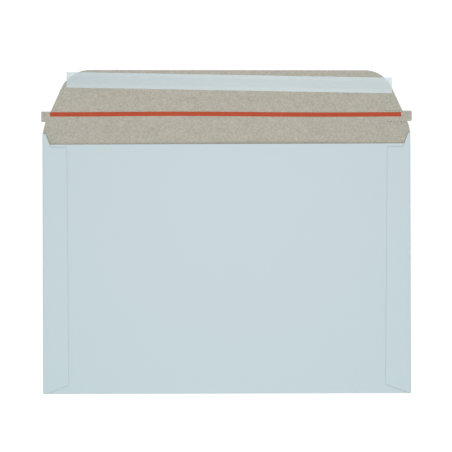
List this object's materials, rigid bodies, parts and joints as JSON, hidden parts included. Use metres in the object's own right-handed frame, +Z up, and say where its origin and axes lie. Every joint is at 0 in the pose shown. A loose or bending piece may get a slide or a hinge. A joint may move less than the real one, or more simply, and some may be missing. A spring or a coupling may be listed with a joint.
{
  "type": "board envelope",
  "caption": "Flat mailing envelope of folded, white-lined grey board with glued side flaps, an open closure flap, a red tear tape and an adhesive strip under its release liner.",
  "frame": {"origin": "middle of the footprint, on the surface that the envelope lies on", "axes": "+X across the envelope, along the crease; +Y from the foot fold towards the closure flap; +Z up, out of the seam side"},
  "size_m": [0.356, 0.311, 0.0023],
  "materials": {
    "lined_board": "pale blue-white lined face, matte, with grey cut edges",
    "grey_board": "uncoated recycled board, matte, with fibre flecks",
    "tear_film": "red film, satin",
    "liner_paper": "translucent silicone-coated paper, satin",
    "adhesive": "clear pressure-sensitive strip",
    "seam_glue": "dried glue line"
  },
  "bodies": {
    "pocket": {"pocket_board": "lined_board", "left_seam_glue": "seam_glue", "right_seam_glue": "seam_glue"},
    "flap": {"closure_flap": "grey_board", "tear_tape": "tear_film", "seal_adhesive": "adhesive", "release_liner": "liner_paper"}
  },
  "joints": [
    {"name": "flap_fold", "type": "hinge", "parent": "pocket", "child": "flap", "pos_m": [0, 0.0945, 0.00174], "axis": [1, 0, 0], "range_deg": [0, 180]}
  ]
}
